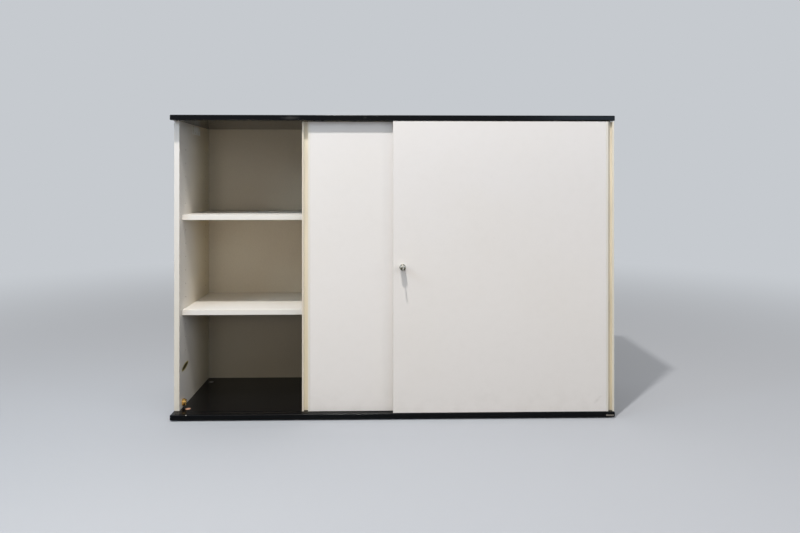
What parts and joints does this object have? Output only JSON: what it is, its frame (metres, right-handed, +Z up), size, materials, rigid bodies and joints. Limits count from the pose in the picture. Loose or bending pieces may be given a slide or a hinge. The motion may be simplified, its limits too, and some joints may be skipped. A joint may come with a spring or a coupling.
{
  "type": "sliding door cabinet",
  "caption": "Low office cabinet with black top and base boards, off-white sliding doors with full-height finger grooves, shelves and a push lock with key.",
  "frame": {"origin": "on the floor, under the middle of the base board, at the foot of the centre glide", "axes": "+X along the cabinet to the right seen from the front, +Y to the back, +Z up; the doors face -Y"},
  "size_m": [1.6, 0.504, 1.095],
  "materials": {
    "black_laminate": "black melamine-faced board, semi-gloss",
    "white_laminate": "off-white melamine-faced board, fine satin",
    "back_laminate": "thin off-white coated back board, satin",
    "cream_plastic": "aged cream plastic profile",
    "black_plastic": "black moulded plastic",
    "beige_plastic": "beige moulded plastic",
    "roller_plastic": "white nylon roller",
    "steel": "bright steel",
    "nickel": "nickel-plated, worn bright",
    "brass": "yellow-plated metal",
    "beech": "fluted beech",
    "badge_metal": "thin grey-brown plate, bare"
  },
  "bodies": {
    "carcass": {"base_board": "black_laminate", "black_floor_caps": "black_plastic", "blank_badge": "badge_metal", "centre_glide": "black_plastic", "centre_partition": "white_laminate", "corner_glides": "black_plastic", "dowels": "beech", "front_bottom_track": "black_plastic", "front_left_floor_cap": "beige_plastic", "front_top_track": "black_plastic", "left_back_panel": "back_laminate", "left_base_connector": "brass", "left_lower_shelf": "white_laminate", "left_shelf_pins": "steel", "left_side_panel": "white_laminate", "left_upper_shelf": "white_laminate", "rear_bottom_track": "black_plastic", "rear_top_track": "black_plastic", "right_back_panel": "back_laminate", "right_base_connector": "brass", "right_lower_shelf": "white_laminate", "right_shelf_pins": "steel", "right_side_panel": "white_laminate", "right_upper_shelf": "white_laminate", "top_board": "black_laminate", "track_end_stops": "black_plastic"},
    "front_door": {"front_door_panel": "white_laminate", "front_door_grip_profile": "cream_plastic", "lock_sleeve": "nickel", "lock_back_plate": "steel", "front_door_left_roller_housing": "black_plastic", "front_door_left_axle": "steel", "front_door_left_top_guide": "black_plastic", "front_door_right_roller_housing": "black_plastic", "front_door_right_axle": "steel", "front_door_right_top_guide": "black_plastic"},
    "rear_door": {"rear_door_panel": "white_laminate", "rear_door_grip_profile": "cream_plastic", "lock_strike": "black_plastic", "rear_door_left_roller_housing": "black_plastic", "rear_door_left_axle": "steel", "rear_door_left_top_guide": "black_plastic", "rear_door_right_roller_housing": "black_plastic", "rear_door_right_axle": "steel", "rear_door_right_top_guide": "black_plastic"},
    "lock_barrel": {"lock_barrel": "nickel"},
    "lock_plug": {"lock_plug": "nickel"},
    "key": {"key": "steel"},
    "front_door_left_wheel": {"front_door_left_wheel": "roller_plastic"},
    "front_door_right_wheel": {"front_door_right_wheel": "roller_plastic"},
    "rear_door_left_wheel": {"rear_door_left_wheel": "roller_plastic"},
    "rear_door_right_wheel": {"rear_door_right_wheel": "roller_plastic"}
  },
  "joints": [
    {"name": "front_door_slide", "type": "slide", "parent": "carcass", "child": "front_door", "axis": [1, 0, 0], "range_m": [-0.794, 0]},
    {"name": "rear_door_slide", "type": "slide", "parent": "carcass", "child": "rear_door", "axis": [1, 0, 0], "range_m": [-0.465, 0.305]},
    {"name": "front_door_left_wheel_spin", "type": "hinge", "parent": "front_door", "child": "front_door_left_wheel", "pos_m": [0.0865, -0.215, 0.0273], "axis": [0, 1, 0], "continuous": true},
    {"name": "front_door_right_wheel_spin", "type": "hinge", "parent": "front_door", "child": "front_door_right_wheel", "pos_m": [0.7075, -0.215, 0.0273], "axis": [0, 1, 0], "continuous": true},
    {"name": "rear_door_left_wheel_spin", "type": "hinge", "parent": "rear_door", "child": "rear_door_left_wheel", "pos_m": [-0.2425, -0.192, 0.0273], "axis": [0, 1, 0], "continuous": true},
    {"name": "rear_door_right_wheel_spin", "type": "hinge", "parent": "rear_door", "child": "rear_door_right_wheel", "pos_m": [0.4025, -0.192, 0.0273], "axis": [0, 1, 0], "continuous": true},
    {"name": "lock_push", "type": "slide", "parent": "front_door", "child": "lock_barrel", "axis": [0, 1, 0], "range_m": [0, 0.0055], "stiffness_N_per_m": 700, "springref_m": -0.003},
    {"name": "plug_turn", "type": "hinge", "parent": "lock_barrel", "child": "lock_plug", "pos_m": [0.0315, -0.253, 0.548], "axis": [0, 1, 0], "range_deg": [0, 90]},
    {"name": "key_pull", "type": "slide", "parent": "lock_plug", "child": "key", "axis": [0, -1, 0], "range_m": [0, 0.02]}
  ],
  "couplings": [
    {"joint": "front_door_left_wheel_spin", "follows": "front_door_slide", "rad_per_m": 90.909},
    {"joint": "front_door_right_wheel_spin", "follows": "front_door_slide", "rad_per_m": 90.909},
    {"joint": "rear_door_left_wheel_spin", "follows": "rear_door_slide", "rad_per_m": 90.909},
    {"joint": "rear_door_right_wheel_spin", "follows": "rear_door_slide", "rad_per_m": 90.909}
  ]
}
